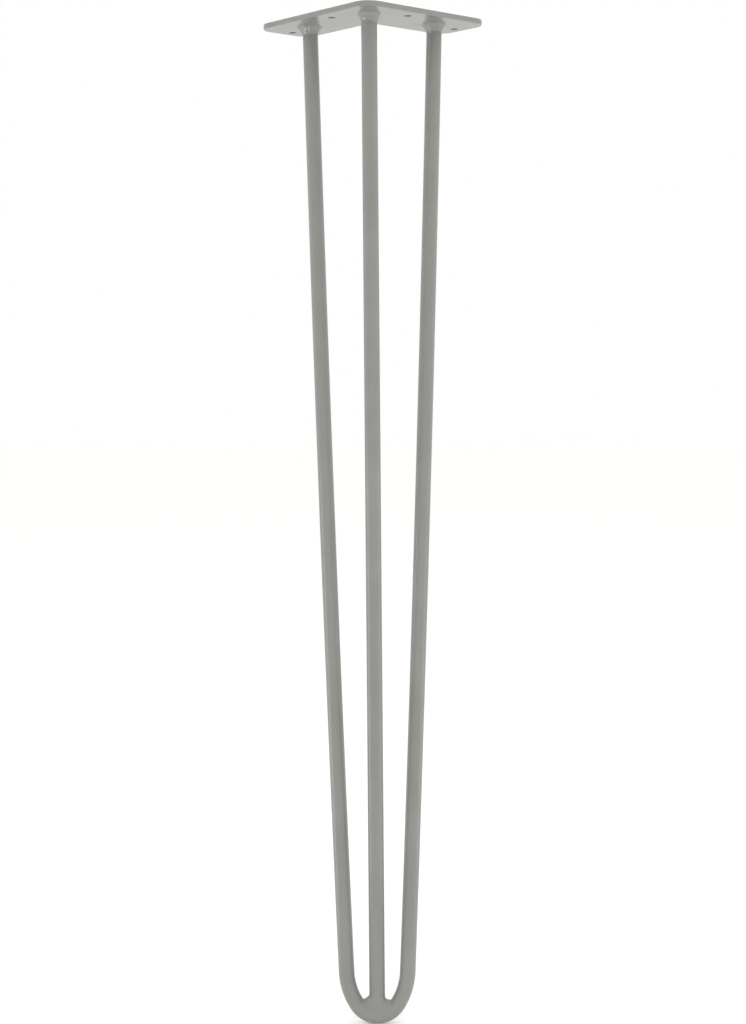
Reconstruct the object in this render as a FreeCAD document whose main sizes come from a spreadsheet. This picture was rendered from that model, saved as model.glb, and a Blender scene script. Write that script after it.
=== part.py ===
"""Hairpin table leg: an L-shaped mounting plate on three round rods.

Two of the rods are the ends of one bar bent into a hairpin. The third is straight, stands
under the plate's corner and is welded to the inside of the hairpin's bend.

Frame: millimetres, +Z up, +Y from the plate's outer corner towards the table's middle,
+X to the right. The origin is on the plate's top face, midway between the two inner screw
holes. The leg is the same on both sides of the plane X = 0.
"""
import FreeCAD, Part
import math
import os

import Sketcher
from FreeCAD import Placement, Rotation, Vector

# Driving sizes, in millimetres and, for the one angle, degrees
SIZES = [
    ("leg_height", 711.0, "floor to table underside, the common 28 inch leg"),
    ("foot_offset", 40.0, "foot outside the plate's corner, along the diagonal"),
    ("arm_length", 120.5, "outer edge of the L, from corner to tip"),
    ("arm_width", 48.5, "width of each arm of the L"),
    ("plate_thickness", 3.7, "sheet with its powder coat"),
    ("outline_radius", 12.0, "rounding of the plate's outer corner and tips"),
    ("notch_radius", 3.0, "rounding of the L's inner corner"),
    ("edge_bevel", 0.4, "softened edge all round the plate"),
    ("hole_diameter", 5.5, "screw holes"),
    ("hole_bevel", 0.3, "softened rim of each screw hole"),
    ("inner_hole_along", 50.5, "inner hole, along the arm from the corner"),
    ("inner_hole_edge", 12.2, "inner hole, in from the arm's outer edge"),
    ("outer_hole_tip_gap", 8.9, "outer hole, back from the arm's tip"),
    ("outer_hole_edge", 26.6, "outer hole, in from the arm's outer edge"),
    ("rod_diameter", 11.2, "round bar with its powder coat"),
    ("rod_line", 24.25, "middle of all three rods, in from the arms' outer edges"),
    ("hairpin_end_along", 88.5, "hairpin's end, along the arm from the corner"),
    ("nose_radius", 17.0, "centreline of the bend at its very foot"),
    ("nose_turn", 54.9, "angle that tight stretch turns on each side"),
    ("shoulder_radius", 45.0, "centreline where the bend opens out"),
    ("weld_leg", 3.4, "weld bead on the plate, out from the rod"),
    ("weld_throat", 1.1, "the same bead at its hollow"),
    ("weld_throat_drop", 1.9, "hollow of the bead, below the plate"),
    ("weld_heel", 0.25, "the same bead where it ends on the rod"),
    ("weld_heel_drop", 5.2, "end of the bead, below the plate"),
    ("foot_seat", 3.1, "cope of the centre rod's end over the bend"),
    ("foot_weld_reach", 3.9, "foot weld, out from the centre rod at its root"),
    ("foot_weld_skin", 0.25, "foot weld where it wraps the centre rod"),
    ("foot_weld_root", 1.9, "foot weld's lower end, above the bar in the bend"),
    ("foot_weld_top", 9.0, "foot weld's upper end, above the bar in the bend"),
]

# Sizes that follow from the driving ones
SETBACK = "((Sizes.inner_hole_along + Sizes.inner_hole_edge) / sqrt(2))"
ROD_RADIUS = "(Sizes.rod_diameter / 2)"
HALF_SPREAD = "((Sizes.hairpin_end_along - Sizes.rod_line) / sqrt(2))"
HAIRPIN_Y = "((Sizes.hairpin_end_along + Sizes.rod_line) / sqrt(2) - " + SETBACK + ")"
CENTRE_Y = "(Sizes.rod_line * sqrt(2) - " + SETBACK + ")"
FOOT_Y = "(-Sizes.foot_offset - " + SETBACK + ")"
DROP = "(Sizes.leg_height - Sizes.plate_thickness - " + ROD_RADIUS + ")"
HAIRPIN_TILT = "atan((" + HAIRPIN_Y + " - " + FOOT_Y + ") / " + DROP + ")"
HAIRPIN_RUN = "sqrt((" + HAIRPIN_Y + " - " + FOOT_Y + ")^2 + " + DROP + "^2)"
CENTRE_TILT = "atan((" + CENTRE_Y + " - " + FOOT_Y + ") / " + DROP + ")"
CENTRE_RUN = "sqrt((" + CENTRE_Y + " - " + FOOT_Y + ")^2 + " + DROP + "^2)"
PLATE_TURN = 45.0

doc = FreeCAD.newDocument("hairpin_table_leg")
sheet = doc.addObject("Spreadsheet::Sheet", "Sizes")
for row, (name, size, meaning) in enumerate(SIZES, start=1):
    sheet.set("A%d" % row, name)
    sheet.set("B%d" % row, str(size))
    sheet.setAlias("B%d" % row, name)
    sheet.set("C%d" % row, meaning)
doc.recompute()


def value(formula):
    """The number that a formula of sheet sizes comes to."""
    result = sheet.evalExpression(formula)
    return float(getattr(result, "Value", result))


def origin_plane(body, role):
    """One of a body's own three base planes."""
    for feature in body.Origin.OriginFeatures:
        if feature.Role == role:
            return feature


def sketch_on(body, name, role):
    """A new sketch on one of the body's base planes."""
    sketch = body.newObject("Sketcher::SketchObject", name)
    sketch.AttachmentSupport = [(origin_plane(body, role), "")]
    sketch.MapMode = "FlatFace"
    return sketch


def constrain(sketch, name, formula, *args):
    """Add a named dimension to a sketch and bind it to a formula."""
    index = sketch.addConstraint(Sketcher.Constraint(*args, value(formula)))
    sketch.renameConstraint(index, name)
    sketch.setExpression("Constraints." + name, formula)


def place(item, y_formula, z_formula, tilt_formula):
    """Stand an object on the leg's middle plane, leaning back from the foot by the tilt."""
    item.Placement = Placement(Vector(0, 0, 0), Rotation(Vector(-1, 0, 0), value(tilt_formula)))
    item.setExpression("Placement.Base.y", y_formula)
    item.setExpression("Placement.Base.z", z_formula)
    item.setExpression("Placement.Rotation.Angle", tilt_formula)


def make_plate():
    """L-shaped sheet plate, its arms along its own X and Y, turned to point at the middle."""
    body = doc.addObject("PartDesign::Body", "PlateBody")
    outline = sketch_on(body, "PlateOutline", "XY_Plane")
    long_side = value("Sizes.arm_length")
    short_side = value("Sizes.arm_width")
    corners = [
        (0, 0), (long_side, 0), (long_side, short_side),
        (short_side, short_side), (short_side, long_side), (0, long_side),
    ]
    count = len(corners)
    for index in range(count):
        start = Vector(*corners[index], 0)
        end = Vector(*corners[(index + 1) % count], 0)
        outline.addGeometry(Part.LineSegment(start, end), False)
    for index in range(count):
        follower = (index + 1) % count
        outline.addConstraint(Sketcher.Constraint("Coincident", index, 2, follower, 1))
        direction = "Horizontal" if index % 2 == 0 else "Vertical"
        outline.addConstraint(Sketcher.Constraint(direction, index))
    outline.addConstraint(Sketcher.Constraint("Coincident", 0, 1, -1, 1))
    constrain(outline, "RightArm", "Sizes.arm_length", "DistanceX", 0, 1, 0, 2)
    constrain(outline, "LeftArm", "Sizes.arm_length", "DistanceY", 0, 1, 4, 2)
    constrain(outline, "RightWidth", "Sizes.arm_width", "DistanceY", 1, 1, 1, 2)
    constrain(outline, "LeftWidth", "Sizes.arm_width", "DistanceX", 5, 1, 3, 2)
    sheet_pad = body.newObject("PartDesign::Pad", "PlateSheet")
    sheet_pad.Profile = outline
    sheet_pad.Reversed = True
    sheet_pad.setExpression("Length", "Sizes.plate_thickness")
    doc.recompute()

    notch = (short_side, short_side)
    outer = [corner for corner in corners if corner != notch]
    rounded = dress_edges(body, sheet_pad, "PartDesign::Fillet", "OutlineRounds", "Radius",
                          "Sizes.outline_radius", lambda edge: stands_at(edge, outer))
    rounded = dress_edges(body, rounded, "PartDesign::Fillet", "NotchRound", "Radius",
                          "Sizes.notch_radius", lambda edge: stands_at(edge, [notch]))
    softened = dress_edges(body, rounded, "PartDesign::Chamfer", "SoftEdges", "Size",
                           "Sizes.edge_bevel", lies_flat)
    drilled = drill_plate(body)
    if drilled.Shape.Volume >= softened.Shape.Volume:
        raise RuntimeError("the screw holes cut nothing")
    dress_edges(body, drilled, "PartDesign::Chamfer", "HoleRims", "Size",
                "Sizes.hole_bevel", is_hole_rim)

    body.Placement = Placement(Vector(0, 0, 0), Rotation(Vector(0, 0, 1), PLATE_TURN))
    body.setExpression("Placement.Base.y", "-" + SETBACK)
    body.Label = "mounting_plate"
    return body


def stands_at(edge, corners):
    """Whether an edge is an upright one at one of these plan corners."""
    first, last = edge.Vertexes[0].Point, edge.Vertexes[-1].Point
    if abs(first.z - last.z) < 0.5 * value("Sizes.plate_thickness"):
        return False
    return any(math.hypot(first.x - x, first.y - y) < 0.01 for x, y in corners)


def lies_flat(edge):
    """Whether an edge runs level, along the top or bottom of the sheet."""
    return edge.BoundBox.ZLength < 0.01


def is_hole_rim(edge):
    """Whether an edge is the rim of a screw hole."""
    radius = value("Sizes.hole_diameter / 2")
    return lies_flat(edge) and hasattr(edge.Curve, "Radius") and edge.isClosed() \
        and abs(edge.Curve.Radius - radius) < 0.01


def dress_edges(body, base, kind, name, size_property, formula, wanted):
    """Round or bevel the edges of a feature that the test picks."""
    picked = ["Edge%d" % (index + 1) for index, edge in enumerate(base.Shape.Edges) if wanted(edge)]
    dressing = body.newObject(kind, name)
    dressing.Base = (base, picked)
    dressing.setExpression(size_property, formula)
    doc.recompute()
    return dressing


def drill_plate(body):
    """Four screw holes, a pair on each arm, the arms mirror images of each other."""
    sketch = sketch_on(body, "ScrewHoles", "XY_Plane")
    places = [
        ("Inner", "Sizes.inner_hole_along", "Sizes.inner_hole_edge"),
        ("Outer", "Sizes.arm_length - Sizes.outer_hole_tip_gap", "Sizes.outer_hole_edge"),
    ]
    for label, along, edge in places:
        for side, across, up in (("Right", along, edge), ("Left", edge, along)):
            centre = Vector(value(across), value(up), 0)
            circle = Part.Circle(centre, Vector(0, 0, 1), value("Sizes.hole_diameter / 2"))
            index = sketch.addGeometry(circle, False)
            constrain(sketch, label + side + "X", across, "DistanceX", -1, 1, index, 3)
            constrain(sketch, label + side + "Y", up, "DistanceY", -1, 1, index, 3)
            constrain(sketch, label + side + "Size", "Sizes.hole_diameter", "Diameter", index)
    pocket = body.newObject("PartDesign::Pocket", "ScrewHolesCut")
    pocket.Profile = sketch
    pocket.Type = "ThroughAll"
    pocket.Midplane = True
    doc.recompute()
    return pocket


def hairpin_centreline():
    """Centreline of the hairpin's right half, in its own plane.

    X is across and Y up, from the level of the plate's underside. A tight nose and a wide
    shoulder follow each other, and a straight leg runs on from the shoulder through the
    point where it is welded. Returns both arcs' centres, the angles where the nose ends and
    where the leg leaves the shoulder, and the leg's own angle from upright.
    """
    nose = value("Sizes.nose_radius")
    shoulder = value("Sizes.shoulder_radius")
    turn = math.radians(value("Sizes.nose_turn"))
    nose_centre = Vector(0, nose - value(HAIRPIN_RUN), 0)
    shoulder_centre = nose_centre + Vector(math.sin(turn), -math.cos(turn), 0) * (nose - shoulder)
    span = Vector(value(HALF_SPREAD), 0, 0) - shoulder_centre
    lean = math.acos(shoulder / span.Length) - math.atan2(span.y, span.x)
    down = -math.pi / 2
    return nose_centre, shoulder_centre, down + turn, -lean, lean


def make_hairpin():
    """One round bar bent once, its pointed bend at the foot, its ends cut to the plate."""
    body = doc.addObject("PartDesign::Body", "HairpinBody")
    path = sketch_on(body, "HairpinPath", "XZ_Plane")
    nose_centre, shoulder_centre, nose_end, shoulder_end, lean = hairpin_centreline()
    nose = Part.Circle(nose_centre, Vector(0, 0, 1), value("Sizes.nose_radius"))
    shoulder = Part.Circle(shoulder_centre, Vector(0, 0, 1), value("Sizes.shoulder_radius"))
    leg_start = shoulder.value(shoulder_end)
    allowance = value(ROD_RADIUS)
    leg_end = Vector(value(HALF_SPREAD) + allowance * math.tan(lean), allowance, 0)
    path.addGeometry(Part.ArcOfCircle(nose, -math.pi / 2, nose_end), False)
    path.addGeometry(Part.ArcOfCircle(shoulder, nose_end, shoulder_end), False)
    path.addGeometry(Part.LineSegment(leg_start, leg_end), False)
    weld_point = path.addGeometry(Part.Point(Vector(value(HALF_SPREAD), 0, 0)), True)
    path.addConstraint(Sketcher.Constraint("Tangent", 0, 2, 1, 1))
    path.addConstraint(Sketcher.Constraint("Tangent", 1, 2, 2, 1))
    path.addConstraint(Sketcher.Constraint("PointOnObject", 0, 1, -2))
    path.addConstraint(Sketcher.Constraint("PointOnObject", 0, 3, -2))
    path.addConstraint(Sketcher.Constraint("PointOnObject", weld_point, 1, -1))
    path.addConstraint(Sketcher.Constraint("PointOnObject", weld_point, 1, 2))
    constrain(path, "Run", HAIRPIN_RUN, "DistanceY", 0, 1, -1, 1)
    constrain(path, "NoseRadius", "Sizes.nose_radius", "Radius", 0)
    constrain(path, "NoseHalfWidth", "Sizes.nose_radius * sin(Sizes.nose_turn)",
              "DistanceX", -1, 1, 0, 2)
    constrain(path, "ShoulderRadius", "Sizes.shoulder_radius", "Radius", 1)
    constrain(path, "HalfSpread", HALF_SPREAD, "DistanceX", -1, 1, weld_point, 1)
    constrain(path, "CutAllowance", ROD_RADIUS, "DistanceY", -1, 1, 2, 2)

    section = sketch_on(body, "HairpinSection", "YZ_Plane")
    foot = Vector(0, -value(HAIRPIN_RUN), 0)
    section.addGeometry(Part.Circle(foot, Vector(0, 0, 1), value(ROD_RADIUS)), False)
    section.addConstraint(Sketcher.Constraint("PointOnObject", 0, 3, -2))
    constrain(section, "Drop", HAIRPIN_RUN, "DistanceY", 0, 3, -1, 1)
    constrain(section, "RodDiameter", "Sizes.rod_diameter", "Diameter", 0)

    half = body.newObject("PartDesign::AdditivePipe", "HairpinHalf")
    half.Profile = section
    half.Spine = path
    doc.recompute()
    whole = body.newObject("PartDesign::Mirrored", "HairpinWhole")
    whole.Originals = [half]
    whole.MirrorPlane = (origin_plane(body, "YZ_Plane"), [""])
    body.Tip = whole
    place(body, HAIRPIN_Y, "-Sizes.plate_thickness", HAIRPIN_TILT)
    return body


def make_centre_bar():
    """The straight bar, from its seat on the bend to past the plate's underside."""
    bar = doc.addObject("Part::Cylinder", "CentreBar")
    start = "(" + ROD_RADIUS + " - Sizes.foot_seat)"
    bar.setExpression("Radius", ROD_RADIUS)
    bar.setExpression("Height", CENTRE_RUN + " - " + start + " + " + ROD_RADIUS)
    place_up_centre_rod(bar, start)
    return bar


def make_space_above():
    """A block that fills the space from the plate's underside upwards."""
    block = doc.addObject("Part::Box", "SpaceAboveUnderside")
    block.setExpression("Length", "4 * Sizes.arm_length")
    block.setExpression("Width", "4 * Sizes.arm_length")
    block.setExpression("Height", "4 * Sizes.rod_diameter")
    block.setExpression("Placement.Base.x", "-2 * Sizes.arm_length")
    block.setExpression("Placement.Base.y", "-2 * Sizes.arm_length")
    block.setExpression("Placement.Base.z", "-Sizes.plate_thickness")
    return block


def cut(name, base, tool, label=None):
    """What is left of one object outside another."""
    result = doc.addObject("Part::Cut", name)
    result.Base = base
    result.Tool = tool
    result.Label = label or name
    return result


def make_plate_weld(label, x_formula, y_formula, lean, tilt_formula, rod):
    """Hollow fillet bead round a rod's end, two cones that share the rod's tilt with the plate.

    The upper cone runs on past the plate's underside, where it is cut off level.
    """
    rod_way = Rotation(Vector(-1, 0, 0), value(tilt_formula)) * Rotation(Vector(0, 1, 0), lean)
    bead_way = Rotation().slerp(rod_way, 0.5)
    down = bead_way.multVec(Vector(0, 0, -1))
    rod_end = Vector(value(x_formula), value(y_formula), -value("Sizes.plate_thickness"))

    upper = doc.addObject("Part::Cone", label + "_upper")
    upper.setExpression("Radius1", ROD_RADIUS + " + Sizes.weld_throat")
    upper.setExpression("Radius2", ROD_RADIUS + " + 2 * Sizes.weld_leg - Sizes.weld_throat")
    upper.setExpression("Height", "2 * Sizes.weld_throat_drop")
    upper.Placement = Placement(rod_end + down * value("Sizes.weld_throat_drop"), bead_way)

    lower = doc.addObject("Part::Cone", label + "_lower")
    lower.setExpression("Radius1", ROD_RADIUS + " + Sizes.weld_heel")
    lower.setExpression("Radius2", ROD_RADIUS + " + Sizes.weld_throat")
    lower.setExpression("Height", "Sizes.weld_heel_drop - Sizes.weld_throat_drop")
    lower.Placement = Placement(rod_end + down * value("Sizes.weld_heel_drop"), bead_way)

    bead = doc.addObject("Part::Fuse", label + "_bead")
    bead.Base = upper
    bead.Tool = lower
    level_top = cut(label + "_level", bead, space_above)
    return cut(label + "_ring", level_top, rod, label)


def place_up_centre_rod(item, level):
    """Put an object on the centre rod's axis, at a level above the bend's centreline."""
    place(item, FOOT_Y + " + " + level + " * sin(" + CENTRE_TILT + ")",
          "-Sizes.leg_height + " + ROD_RADIUS + " + " + level + " * cos(" + CENTRE_TILT + ")",
          CENTRE_TILT)


def make_foot_weld(hairpin, bar):
    """Weld in the crotch of the bend, an oval at its root that closes in on the centre rod."""
    skin = ROD_RADIUS + " + Sizes.foot_weld_skin"
    root = doc.addObject("Part::Ellipse", "FootWeldRoot")
    root.setExpression("MajorRadius", ROD_RADIUS + " + Sizes.foot_weld_reach")
    root.setExpression("MinorRadius", skin)
    place_up_centre_rod(root, "(" + ROD_RADIUS + " + Sizes.foot_weld_root)")
    top = doc.addObject("Part::Circle", "FootWeldTop")
    top.setExpression("Radius", skin)
    place_up_centre_rod(top, "(" + ROD_RADIUS + " + Sizes.foot_weld_top)")
    filled = doc.addObject("Part::Loft", "FootWeldMetal")
    filled.Sections = [root, top]
    filled.Solid = True
    clear_of_bend = cut("FootWeldOffBend", filled, hairpin)
    return cut("FootWeldOffRods", clear_of_bend, bar, "foot_weld")


plate = make_plate()
hairpin_bend = make_hairpin()
centre_bar = make_centre_bar()
space_above = make_space_above()
doc.recompute()

hairpin_rod = cut("HairpinRod", hairpin_bend, space_above, "hairpin_rod")
centre_trimmed = cut("CentreTrimmed", centre_bar, space_above)
centre_rod = cut("CentreRod", centre_trimmed, hairpin_bend, "centre_rod")

leg_lean = math.degrees(hairpin_centreline()[4])
corner_weld = make_plate_weld("corner_weld", "0", CENTRE_Y, 0.0, CENTRE_TILT, centre_bar)
left_weld = make_plate_weld("left_weld", "-" + HALF_SPREAD, HAIRPIN_Y, -leg_lean,
                            HAIRPIN_TILT, hairpin_bend)
right_weld = make_plate_weld("right_weld", HALF_SPREAD, HAIRPIN_Y, leg_lean,
                             HAIRPIN_TILT, hairpin_bend)
foot_weld = make_foot_weld(hairpin_bend, centre_bar)
doc.recompute()

SUBPARTS = [plate, hairpin_rod, centre_rod, corner_weld, left_weld, right_weld, foot_weld]

for item in doc.Objects:
    if "Invalid" in item.State or "Error" in item.State:
        raise RuntimeError("%s did not build: %s" % (item.Label, item.State))
for piece in SUBPARTS:
    if piece.Shape.isNull() or not piece.Shape.isValid() or len(piece.Shape.Solids) != 1:
        raise RuntimeError("%s is not one valid solid" % piece.Label)

os.makedirs("parts", exist_ok=True)
for piece in SUBPARTS:
    piece.Shape.exportStep("parts/%s.step" % piece.Label)
    box = piece.Shape.BoundBox
    print("%-15s %9.1f mm3  z %.2f to %.2f" % (piece.Label, piece.Shape.Volume, box.ZMin, box.ZMax))
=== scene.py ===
"""Hairpin table leg in grey powder coat, standing on a pale studio floor.

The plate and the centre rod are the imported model's own nodes. Five pieces take the place of
their solids: the hairpin, because its long sides are bowed by a millimetre where the solid is
straight, and the four weld beads, which are lumpy and rippled where the solids are plain.
The scene is in metres, with +Z up and +Y towards the table's middle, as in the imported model.
"""
import math

import bmesh
import bpy
import numpy as np
from mathutils import Matrix, Vector, noise


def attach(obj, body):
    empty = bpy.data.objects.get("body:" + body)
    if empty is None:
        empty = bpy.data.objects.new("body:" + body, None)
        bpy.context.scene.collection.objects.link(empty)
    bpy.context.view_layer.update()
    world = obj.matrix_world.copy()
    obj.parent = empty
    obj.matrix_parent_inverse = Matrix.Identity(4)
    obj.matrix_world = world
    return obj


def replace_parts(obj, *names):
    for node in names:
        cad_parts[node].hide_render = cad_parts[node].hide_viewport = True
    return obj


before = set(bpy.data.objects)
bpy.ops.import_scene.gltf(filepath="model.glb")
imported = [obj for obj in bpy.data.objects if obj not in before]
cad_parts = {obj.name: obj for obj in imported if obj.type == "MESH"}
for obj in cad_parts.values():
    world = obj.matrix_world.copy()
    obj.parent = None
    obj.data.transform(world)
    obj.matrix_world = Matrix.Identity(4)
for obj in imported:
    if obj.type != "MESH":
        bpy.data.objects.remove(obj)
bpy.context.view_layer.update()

MM = 0.001

# Sizes of the leg in millimetres, as its solids have them
LEG_HEIGHT = 711.0
PLATE_THICKNESS = 3.7
ROD_RADIUS = 5.6

# Centres of the bars under the plate, on the right and in the middle, and at the lowest
# point of the bend, and the directions in which the bars rise from there
HAIRPIN_END = Vector((45.43, 35.39, -PLATE_THICKNESS))
CENTRE_END = Vector((0.0, -10.04, -PLATE_THICKNESS))
NOSE = Vector((0.0, -84.34, ROD_RADIUS - LEG_HEIGHT))
HAIRPIN_UP = Vector((0.0, HAIRPIN_END.y - NOSE.y, HAIRPIN_END.z - NOSE.z)).normalized()
CENTRE_UP = (CENTRE_END - NOSE).normalized()

# The hairpin's bend in millimetres and degrees: how far the tight nose arc turns, and how
# far from upright the wide shoulder arc hands over to the long side
NOSE_RADIUS = 17.0
NOSE_TURN = 56.3
SHOULDER_RADIUS = 45.0
SHOULDER_LEAN = 2.43

# How finely the bar is drawn: steps of its three arcs, and its sides
NOSE_STEPS, SHOULDER_STEPS, LONG_SIDE_STEPS = 24, 14, 28
BAR_SIDES = 72

# The coat's darker and lighter grey, and its range of roughness. The ranges end below 0.274,
# past which the render's noise filter works in another way and draws faint lines on the bars.
GREY = ("#868782", "#8D8E89")
# The beads' grey is a shade lighter than the bars' as painted light, against the shade under the
# plate
BEAD_GREY_PAINTED_LIGHTER = ("#8A8B86", "#929390")
SATIN = (0.20, 0.27)
BEAD_GLOSS = (0.14, 0.22)

# Sizes of the patterns in the coat, in millimetres
CLOUD_SIZE = 38.0
SPECK_SIZE = 0.9
PEEL_SIZE = 2.2
GRAIN_SIZE = 1.1

# How many times as long as wide the lines on drawn bar are
GRAIN_STRETCH = 50

# Strength of the sky's light on the leg, at the horizon and high up, and the floor's own glow
SKY_LOW, SKY_HIGH = 0.46, 1.02
FLOOR_GLOW = 0.20


def linear(hex_colour):
    """An sRGB hex colour as the linear RGBA that a shader takes."""
    channels = [int(hex_colour[i:i + 2], 16) / 255 for i in (1, 3, 5)]
    return [c / 12.92 if c <= 0.04045 else ((c + 0.055) / 1.055) ** 2.4 for c in channels] + [1.0]


def add(tree, kind, inputs=None, **settings):
    """A node with its settings, its input values and the links into it."""
    node = tree.nodes.new(kind)
    for name, setting in settings.items():
        setattr(node, name, setting)
    for key, source in (inputs or {}).items():
        if isinstance(source, bpy.types.NodeSocket):
            tree.links.new(source, node.inputs[key])
        else:
            node.inputs[key].default_value = source
    return node


def new_material(name):
    """An empty material and its node tree."""
    material = bpy.data.materials.new(name)
    material.use_nodes = True
    material.node_tree.nodes.clear()
    return material, material.node_tree


# Camera

def set_camera():
    """The photograph's view: from a little right of the plate's corner, above half height."""
    eye = Vector((52.731, -1151.843, -225.635)) * MM
    yaw, pitch, roll = -0.047804, -0.113516, -0.013366
    focal_pixels, picture_height, sensor = 1579.97, 1024, 36.0
    forward = Vector((math.sin(yaw) * math.cos(pitch), math.cos(yaw) * math.cos(pitch),
                      math.sin(pitch)))
    level_right = Vector((math.cos(yaw), -math.sin(yaw), 0))
    level_up = level_right.cross(forward)
    right = level_right * math.cos(roll) + level_up * math.sin(roll)
    up = level_up * math.cos(roll) - level_right * math.sin(roll)
    turn = Matrix((right, up, -forward)).transposed().to_4x4()
    camera_data = bpy.data.cameras.new("studio_camera")
    camera_data.sensor_fit = "AUTO"
    camera_data.sensor_width = sensor
    camera_data.lens = focal_pixels / picture_height * sensor
    camera_data.clip_start = 0.01
    camera = bpy.data.objects.new("studio_camera", camera_data)
    camera.matrix_world = Matrix.Translation(eye) @ turn
    bpy.context.scene.collection.objects.link(camera)
    bpy.context.scene.camera = camera


# Powder coat

def powder_coat(name, tone, peel_depth, gloss, grain_depth=None):
    """Satin grey powder coat on steel: even colour, a soft gloss and a faint orange peel.

    Tone is the coat's darker and lighter grey, and gloss its range of roughness. Depths are
    in millimetres. Grain, where its depth is given, is what still shows through the coat of
    the lines on drawn bar, along the object's Z.
    """
    material, tree = new_material(name)
    place = add(tree, "ShaderNodeTexCoord").outputs["Object"]

    # Broad clouds and fine specks shift the grey a little
    cloud_share = 0.65
    cloud = add(tree, "ShaderNodeTexNoise", {
        "Vector": place, "Scale": 1 / (CLOUD_SIZE * MM), "Detail": 3.0})
    speck = add(tree, "ShaderNodeTexNoise", {
        "Vector": place, "Scale": 1 / (SPECK_SIZE * MM), "Detail": 2.0})
    shade = add(tree, "ShaderNodeMath", {0: cloud.outputs["Fac"], 1: cloud_share},
                operation="MULTIPLY")
    shade = add(tree, "ShaderNodeMath", {
        0: speck.outputs["Fac"], 1: 1 - cloud_share, 2: shade.outputs[0]},
        operation="MULTIPLY_ADD")
    colour = add(tree, "ShaderNodeValToRGB", {"Fac": shade.outputs[0]})
    darker, lighter = colour.color_ramp.elements
    darker.position, darker.color = 0.36, linear(tone[0])
    lighter.position, lighter.color = 0.64, linear(tone[1])

    # Orange peel, with the grain under it where the coat lies on drawn bar
    peel = add(tree, "ShaderNodeTexNoise", {
        "Vector": place, "Scale": 1 / (PEEL_SIZE * MM), "Detail": 1.5, "Roughness": 0.45})
    bump = add(tree, "ShaderNodeBump", {
        "Height": peel.outputs["Fac"], "Strength": 1.0, "Distance": peel_depth * MM})
    if grain_depth:
        stretched = add(tree, "ShaderNodeMapping", {
            "Vector": place, "Scale": (1.0, 1.0, 1 / GRAIN_STRETCH)})
        lines = add(tree, "ShaderNodeTexNoise", {
            "Vector": stretched.outputs[0], "Scale": 1 / (GRAIN_SIZE * MM), "Detail": 2.0})
        bump = add(tree, "ShaderNodeBump", {
            "Height": lines.outputs["Fac"], "Strength": 1.0, "Distance": grain_depth * MM,
            "Normal": bump.outputs[0]})

    # The clouds also shift the gloss
    satin = add(tree, "ShaderNodeMapRange", {
        "Value": cloud.outputs["Fac"], "From Min": 0.3, "From Max": 0.7,
        "To Min": gloss[0], "To Max": gloss[1]})
    coat = add(tree, "ShaderNodeBsdfPrincipled", {
        "Base Color": colour.outputs["Color"], "Metallic": 0.0, "IOR": 1.5,
        "Roughness": satin.outputs[0], "Normal": bump.outputs[0]})
    add(tree, "ShaderNodeOutputMaterial", {"Surface": coat.outputs[0]})
    return material


def mesh_object(name, mesh, material):
    """A piece of the leg in the given finish, which rides on the leg."""
    mesh.materials.clear()
    mesh.materials.append(material)
    piece = bpy.data.objects.new(name, mesh)
    bpy.context.scene.collection.objects.link(piece)
    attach(piece, "root")
    return piece


# Hairpin

def hairpin_line():
    """The bar's centre line from the nose up one side, as steps aside and up, and its lean there.

    A tight nose arc and a wide shoulder arc lead into a long side that bows a little outwards.
    """
    line = [(0.0, 0.0)]

    def bend(radius, start, end, steps):
        """Go on round an arc, with the headings measured up from level."""
        aside, rise = line[-1]
        for i in range(1, steps + 1):
            heading = start + (end - start) * i / steps
            line.append((aside + radius * (math.sin(heading) - math.sin(start)),
                         rise + radius * (math.cos(start) - math.cos(heading))))

    nose_end = math.radians(NOSE_TURN)
    side_start = math.radians(90 - SHOULDER_LEAN)
    bend(NOSE_RADIUS, 0.0, nose_end, NOSE_STEPS)
    bend(SHOULDER_RADIUS, nose_end, side_start, SHOULDER_STEPS)

    # The bow is the one arc that leaves the shoulder smoothly and ends under the plate
    aside = HAIRPIN_END.x - line[-1][0]
    rise = (HAIRPIN_END - NOSE).dot(HAIRPIN_UP) - line[-1][1]
    half_turn = math.atan2(rise, aside) - side_start
    side_end = side_start + 2 * half_turn
    bow_radius = math.hypot(aside, rise) / (2 * math.sin(half_turn))
    bend(bow_radius, side_start, side_end, LONG_SIDE_STEPS)
    return line, math.pi / 2 - side_end


def round_bar():
    """Geometry nodes that give a line of edges the section of round bar."""
    tree = bpy.data.node_groups.new("round_bar_along_line", "GeometryNodeTree")
    for name, kind in (("Line", "Geometry"), ("Bar Radius", "Float"), ("Sides", "Int"),
                       ("Finish", "Material")):
        tree.interface.new_socket(name, in_out="INPUT", socket_type="NodeSocket" + kind)
    tree.interface.new_socket("Bar", in_out="OUTPUT", socket_type="NodeSocketGeometry")
    given = add(tree, "NodeGroupInput").outputs
    line = add(tree, "GeometryNodeMeshToCurve", {"Mesh": given["Line"]})
    section = add(tree, "GeometryNodeCurvePrimitiveCircle", {
        "Resolution": given["Sides"], "Radius": given["Bar Radius"]})
    bar = add(tree, "GeometryNodeCurveToMesh", {
        "Curve": line.outputs[0], "Profile Curve": section.outputs[0], "Fill Caps": True})
    smooth = add(tree, "GeometryNodeSetShadeSmooth", {"Geometry": bar.outputs[0]})
    whole = add(tree, "GeometryNodeRealizeInstances", {"Geometry": smooth.outputs[0]})
    coated = add(tree, "GeometryNodeSetMaterial", {
        "Geometry": whole.outputs[0], "Material": given["Finish"]})
    add(tree, "NodeGroupOutput", {"Bar": coated.outputs[0]})
    return tree


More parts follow.
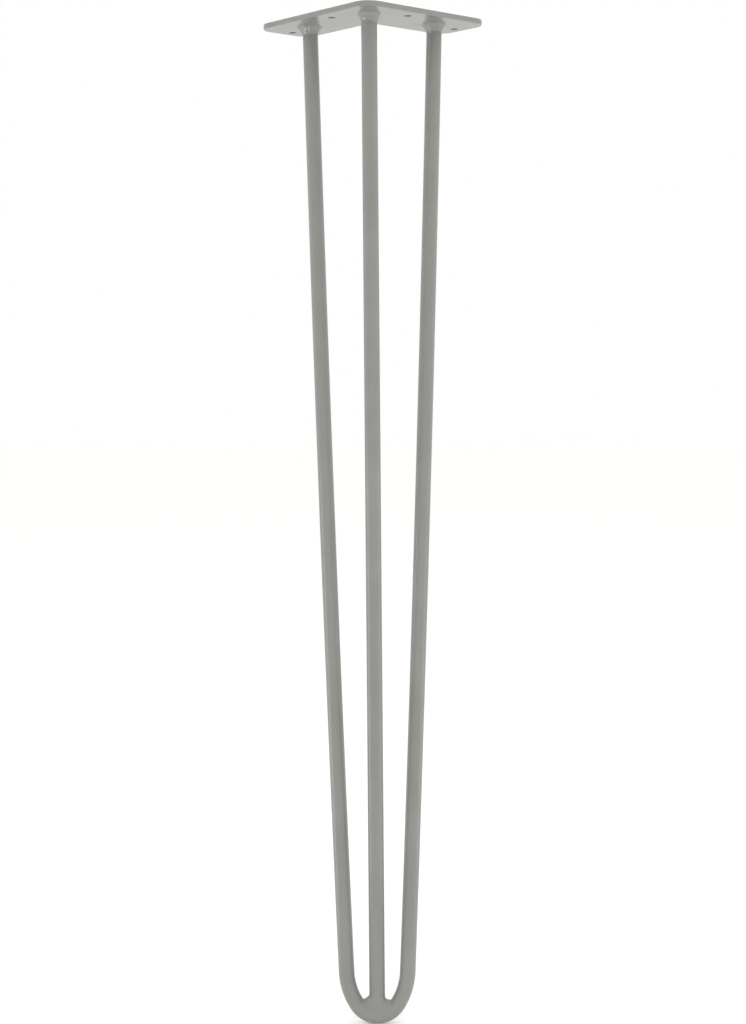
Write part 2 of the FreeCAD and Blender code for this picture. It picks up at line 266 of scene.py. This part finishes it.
def hairpin_bar(material):
    """The bent bar, swept along its centre line and cut flush with the plate's underside.

    It gives back how far the bar's ends lean outwards where they meet the plate.
    """
    line, lean = hairpin_line()
    past_plate = 4.0
    aside, rise = line[-1]
    line.append((aside + past_plate * math.sin(lean), rise + past_plate * math.cos(lean)))
    both = [(-aside, rise) for aside, rise in reversed(line)] + line[1:]
    points = [(NOSE + Vector((aside, 0, 0)) + HAIRPIN_UP * rise) * MM for aside, rise in both]
    guide_mesh = bpy.data.meshes.new("hairpin_line")
    guide_mesh.from_pydata(points, [(i, i + 1) for i in range(len(points) - 1)], [])
    guide = bpy.data.objects.new("hairpin_line", guide_mesh)
    bpy.context.scene.collection.objects.link(guide)
    sweep = guide.modifiers.new("round_bar", "NODES")
    sweep.node_group = round_bar()
    sizes = {"Bar Radius": ROD_RADIUS * MM, "Sides": BAR_SIDES, "Finish": material}
    for socket in sweep.node_group.interface.items_tree:
        if socket.name in sizes:
            sweep[socket.identifier] = sizes[socket.name]
    swept = guide.evaluated_get(bpy.context.evaluated_depsgraph_get())
    mesh = bpy.data.meshes.new_from_object(swept)
    bpy.data.objects.remove(guide)

    bar = bmesh.new()
    bar.from_mesh(mesh)
    cut = bmesh.ops.bisect_plane(bar, geom=bar.verts[:] + bar.edges[:] + bar.faces[:],
                                 plane_co=(0, 0, HAIRPIN_END.z * MM), plane_no=(0, 0, 1),
                                 clear_outer=True)
    rims = [e for e in cut["geom_cut"] if isinstance(e, bmesh.types.BMEdge)]
    bmesh.ops.holes_fill(bar, edges=rims)
    for rim in rims:
        rim.smooth = False
    bmesh.ops.recalc_face_normals(bar, faces=bar.faces[:])
    bar.to_mesh(mesh)
    bar.free()
    mesh.name = "hairpin_bar"
    piece = mesh_object("hairpin_bar", mesh, material)
    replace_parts(piece, "hairpin_rod")
    return lean


# Weld beads

def weld_bead(name, node, points, faces, material):
    """A smooth closed bead from points in millimetres, in place of a weld's solid."""
    mesh = bpy.data.meshes.new(name)
    mesh.from_pydata([Vector(p) * MM for p in points], [], faces)
    mesh.shade_smooth()
    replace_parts(mesh_object(name, mesh, material), node)


def uneven(angle, waves, seed):
    """Smooth unevenness round a rod, between -1 and 1, which joins up after a full turn."""
    return noise.noise(Vector((math.cos(angle) * waves, math.sin(angle) * waves, seed)))


def plate_weld(node, rod_end, down, reach, seed, material):
    """Hollow, lumpy bead round a rod's end, laid in short overlapping puddles.

    Each cross-section runs from the toe on the plate, about reach millimetres out from the
    rod, to the heel on the rod, and closes inside the metal. The puddles lie as crescents.
    """
    around, across = 300, 28
    puddles = 15
    heel_height = 5.7
    ripple_height, grit_height = 0.13, 0.22
    toe_sink, heel_sink, root_sink = 0.05, 0.08, 0.35
    side = down.cross(Vector((0, 1, 0))).normalized()
    front = side.cross(down).normalized()
    points, faces = [], []
    for i in range(around):
        angle = 2 * math.pi * i / around
        outward = side * math.cos(angle) + front * math.sin(angle)
        skin = rod_end + outward * ROD_RADIUS
        corner = skin + down * ((skin.z - rod_end.z) / -down.z)
        level = Vector((outward.x, outward.y, 0)).normalized()

        # Slow lumps and quicker swells move the toe, the heel and the puddles
        lump = uneven(angle, 1.3, seed)
        swell = uneven(angle, 3.1, seed + 7)
        toe = reach + 0.6 * lump + 0.5 * swell
        heel = heel_height + 0.6 * lump + 0.9 * swell
        hollow = 0.30 + 0.12 * lump

        # The section is hollow and rippled, and both its edges sink into the steel
        for j in range(across + 1):
            t = j / across
            middle = 4 * t * (1 - t)
            knee = middle / 2 * hollow
            puddle = abs(math.sin(0.5 * (angle * puddles + 5.0 * swell + 1.6 * middle))) ** 0.8
            place = corner + level * toe * (1 - t) + down * heel * t
            grit = noise.noise(place * 0.45 + Vector((seed, 0, 0)))
            ripple = ripple_height * (puddle - 0.6) * (1 + 1.5 * lump)
            crest = middle * (ripple + grit_height * grit)
            out = ((1 - t) ** 2 + knee) * toe + crest
            drop = (t ** 2 + knee) * heel + crest
            if j == 0:
                drop -= toe_sink
            if j == across:
                out -= heel_sink
            points.append(corner + level * out + down * drop)
        points.append(corner + (level + down) * -root_sink)
        ring = across + 2
        for j in range(ring):
            a, b = i * ring + j, i * ring + (j + 1) % ring
            c, d = (i + 1) % around * ring + (j + 1) % ring, (i + 1) % around * ring + j
            faces.append((a, b, c, d))
    weld_bead(node + "_bead", node, points, faces, material)


def smooth_step(start, end, x):
    """0 before start, 1 past end, whichever is the larger, and a soft change between."""
    t = np.clip((x - start) / (end - start), 0, 1)
    return t * t * (3 - 2 * t)


def foot_weld(material):
    """Weld metal in the crotch of the bend, flush with the bars in front and behind.

    It flares from the centre rod on both sides, straight on the left and hollow on the
    right, down to the bar in the bend. Its skin is found along rays from inside the joint,
    and it sinks slowly under the bars' own skins a short way out. Levels are millimetres
    above the nose, along the centre rod.
    """
    straight_top, straight_slope, straight_reach = 14.3, 1.2, 4.2
    hollow_top, hollow_radius = 13.5, 2.6
    fill_top, fill_depth, fill_reach = 10.9, 0.4, 1.6
    joint_level, start_level = 7.5, 5.0
    proud, soft_width = 0.05, 1.1
    farthest = 14.5
    a_hair = 1e-6

    up, bend_up, nose = np.array(CENTRE_UP), np.array(HAIRPIN_UP), np.array(NOSE)
    joint = nose + up * joint_level
    start = nose + up * start_level
    nose_centre = nose + bend_up * NOSE_RADIUS
    bend_face = np.cross(np.array([1.0, 0, 0]), bend_up)

    def outside(points):
        """How far points lie outside the weld's skin."""
        rel = points - nose
        level = rel @ up
        across = rel - np.outer(np.maximum(level, 0.0), up)
        width = np.maximum(np.linalg.norm(across, axis=1), a_hair)
        sideways = (across[:, 0] / width) ** 4 * smooth_step(1.0, 5.0, level)
        straight = np.clip(straight_slope * (straight_top - level), 0, straight_reach)
        drop = np.clip((hollow_top - level) / hollow_radius, 0, 1)
        hollow = hollow_radius * (1 - np.sqrt(1 - drop ** 2))
        hollow += fill_reach * np.clip((fill_top - level) / fill_depth, 0, 1)
        flare = np.where(points[:, 0] < 0, straight, hollow) * sideways
        from_rod = width - ROD_RADIUS - flare

        rel = points - nose_centre
        off = rel @ bend_face
        ring = np.linalg.norm(rel - np.outer(off, bend_face), axis=1)
        from_bend = np.hypot(ring - NOSE_RADIUS, off) - ROD_RADIUS

        soft = soft_width * sideways + a_hair
        mix = np.clip(0.5 + 0.5 * (from_bend - from_rod) / soft, 0, 1)
        joined = from_bend * (1 - mix) + from_rod * mix - soft * mix * (1 - mix)

        # Away from the joint the skin goes under the bars, slowly at first
        away = np.linalg.norm(points - joint, axis=1)
        sink = 0.12 * smooth_step(7.5, 11.0, away) + 0.5 * smooth_step(12.0, 16.0, away)
        return joined - proud + sink

    ball = bmesh.new()
    bmesh.ops.create_icosphere(ball, subdivisions=6, radius=1.0)
    rays = np.array([v.co[:] for v in ball.verts])

    # Each ray feels its way out from inside the joint until it meets the skin
    far = np.zeros(len(rays))
    for _ in range(220):
        depth = np.minimum(outside(start + rays * far[:, None]), 0)
        far = np.minimum(far - 0.4 * depth, farthest)

    # The skin is a little uneven, most of all at the sides
    rough = np.array([noise.noise(Vector(p) * 0.4) for p in start + rays * far[:, None]])
    lumpy = 0.04 + 0.12 * np.abs(rays[:, 0]) * smooth_step(12.0, 8.0, far)
    points = start + rays * (far + lumpy * rough * (far < farthest - 0.5))[:, None]
    for vert, point in zip(ball.verts, points):
        vert.co = point

    # The flares' edges are rounded off
    for _ in range(5):
        bmesh.ops.smooth_vert(ball, verts=ball.verts[:], factor=0.5,
                              use_axis_x=True, use_axis_y=True, use_axis_z=True)
    points = [v.co.copy() for v in ball.verts]
    faces = [tuple(v.index for v in f.verts) for f in ball.faces]
    ball.free()
    weld_bead("foot_weld_bead", "foot_weld", points, faces, material)


# Studio

def white_to_the_eye(tree):
    """1 for the rays that see the floor or backdrop, in the picture or in a gloss."""
    path = add(tree, "ShaderNodeLightPath")
    seen = path.outputs["Is Camera Ray"]
    for kind in ("Is Glossy Ray", "Is Transmission Ray"):
        seen = add(tree, "ShaderNodeMath", {0: seen, 1: path.outputs[kind]},
                   operation="MAXIMUM").outputs[0]
    return seen


def make_floor():
    """Pale matt floor that takes a faint shadow and glows a little, so it looks near white."""
    material, tree = new_material("matt_white_floor_paint")
    matt = add(tree, "ShaderNodeBsdfDiffuse", {"Color": linear("#F2F2F0")})
    lift = add(tree, "ShaderNodeMath", {0: white_to_the_eye(tree), 1: FLOOR_GLOW},
               operation="MULTIPLY")
    glow = add(tree, "ShaderNodeEmission", {"Strength": lift.outputs[0]})
    both = add(tree, "ShaderNodeAddShader", {0: matt.outputs[0], 1: glow.outputs[0]})
    add(tree, "ShaderNodeOutputMaterial", {"Surface": both.outputs[0]})
    floor_mesh = bpy.data.meshes.new("studio_floor")
    reach, level = 6.0, -LEG_HEIGHT * MM
    floor_mesh.from_pydata([(-reach, -reach, level), (reach, -reach, level),
                            (reach, reach, level), (-reach, reach, level)], [], [(0, 1, 2, 3)])
    floor_mesh.materials.append(material)
    floor = bpy.data.objects.new("studio_floor", floor_mesh)
    bpy.context.scene.collection.objects.link(floor)


def make_sky():
    """Soft sky that is plain white to the eye and lights the leg mostly from above."""
    world = bpy.data.worlds.new("soft_sky")
    bpy.context.scene.world = world
    world.use_nodes = True
    tree = world.node_tree
    tree.nodes.clear()
    way = add(tree, "ShaderNodeTexCoord").outputs["Generated"]
    height = add(tree, "ShaderNodeSeparateXYZ", {0: way}).outputs["Z"]
    light = add(tree, "ShaderNodeMapRange", {
        "Value": height, "From Min": 0.0, "From Max": 0.8,
        "To Min": SKY_LOW, "To Max": SKY_HIGH})
    strength = add(tree, "ShaderNodeMapRange", {
        "Value": white_to_the_eye(tree), "To Min": light.outputs[0], "To Max": 1.0})
    sky = add(tree, "ShaderNodeBackground", {
        "Color": (1, 1, 1, 1), "Strength": strength.outputs[0]})
    add(tree, "ShaderNodeOutputWorld", {"Surface": sky.outputs[0]})


def place_lamp(lamp_data, spot, target, lights, glints):
    """A lamp out of the picture, which lights the coat, glints in its gloss, or both."""
    lamp = bpy.data.objects.new(lamp_data.name, lamp_data)
    lamp.visible_camera = False
    lamp.visible_diffuse = lights
    lamp.visible_glossy = glints
    aim = (Vector(target) - Vector(spot)).to_track_quat("-Z", "Y")
    lamp.matrix_world = Matrix.Translation(spot) @ aim.to_matrix().to_4x4()
    bpy.context.scene.collection.objects.link(lamp)


def make_lamps():
    """Three soft fills on the coat, two strips in its gloss and a snoot for the beads."""
    # Place, width and height in metres, watts, whether it lights the coat, whether it glints
    panels = [
        ("front_fill", (0.1, -1.6, -0.08), 1.6, 0.30, 6.8, True, False),
        ("left_fill", (-1.6, 0.35, -0.35), 0.6, 1.4, 9.0, True, False),
        ("right_fill", (1.6, 0.35, -0.35), 0.6, 1.4, 9.0, True, False),
        ("left_strip", (-0.32, -0.12, -0.50), 0.03, 0.40, 0.26, False, True),
        ("right_strip", (0.32, -0.11, -0.50), 0.03, 0.40, 0.14, False, True),
    ]
    for name, spot, width, height, power, lights, glints in panels:
        panel = bpy.data.lights.new(name, "AREA")
        panel.shape = "RECTANGLE"
        panel.size = width
        panel.size_y = height
        panel.energy = power
        place_lamp(panel, spot, (0, -0.03, spot[2]), lights, glints)
    snoot = bpy.data.lights.new("bead_snoot", "SPOT")
    snoot.energy = 13.0
    snoot.shadow_soft_size = 0.012
    snoot.spot_size = math.radians(16)
    snoot.spot_blend = 0.6
    place_lamp(snoot, (-0.76, -0.18, -0.42), (0, 0.01, -0.006), False, True)


set_camera()

# Smooth and even, so the plate's underside softly mirrors the welds
plate_finish = powder_coat("satin_powder_coat_on_plate", GREY, peel_depth=0.006, gloss=SATIN)
# Faint lines along the bar break up its long highlights
rod_finish = powder_coat("satin_powder_coat_on_round_bar", GREY, peel_depth=0.005, gloss=SATIN,
                         grain_depth=0.003)
# Painted light: a shade lighter than the bars, against the shade in the bead's hollow corner.
# Glossier and more dimpled, so the puddles show and catch a small bright dot
bead_coat_painted_lighter = powder_coat("satin_powder_coat_on_weld_bead_painted_lighter", BEAD_GREY_PAINTED_LIGHTER, peel_depth=0.010,
                          gloss=BEAD_GLOSS)
# As on the bars but without their lines, so the foot weld runs into them unseen
dressed_finish = powder_coat("satin_powder_coat_on_dressed_weld", GREY, peel_depth=0.005,
                             gloss=SATIN)
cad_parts["mounting_plate"].material_slots[0].material = plate_finish
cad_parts["centre_rod"].material_slots[0].material = rod_finish

end_lean = hairpin_bar(rod_finish)
for node, sign, seed in (("left_weld", -1, 2.3), ("right_weld", 1, 5.9)):
    end = Vector((sign * HAIRPIN_END.x, HAIRPIN_END.y, HAIRPIN_END.z))
    down = -HAIRPIN_UP * math.cos(end_lean) - Vector((sign * math.sin(end_lean), 0, 0))
    plate_weld(node, end, down, reach=3.8, seed=seed, material=bead_coat_painted_lighter)
plate_weld("corner_weld", CENTRE_END, -CENTRE_UP, reach=3.0, seed=9.4, material=bead_coat_painted_lighter)
foot_weld(dressed_finish)

make_floor()
make_sky()
make_lamps()
bpy.context.scene.view_settings.view_transform = "Standard"
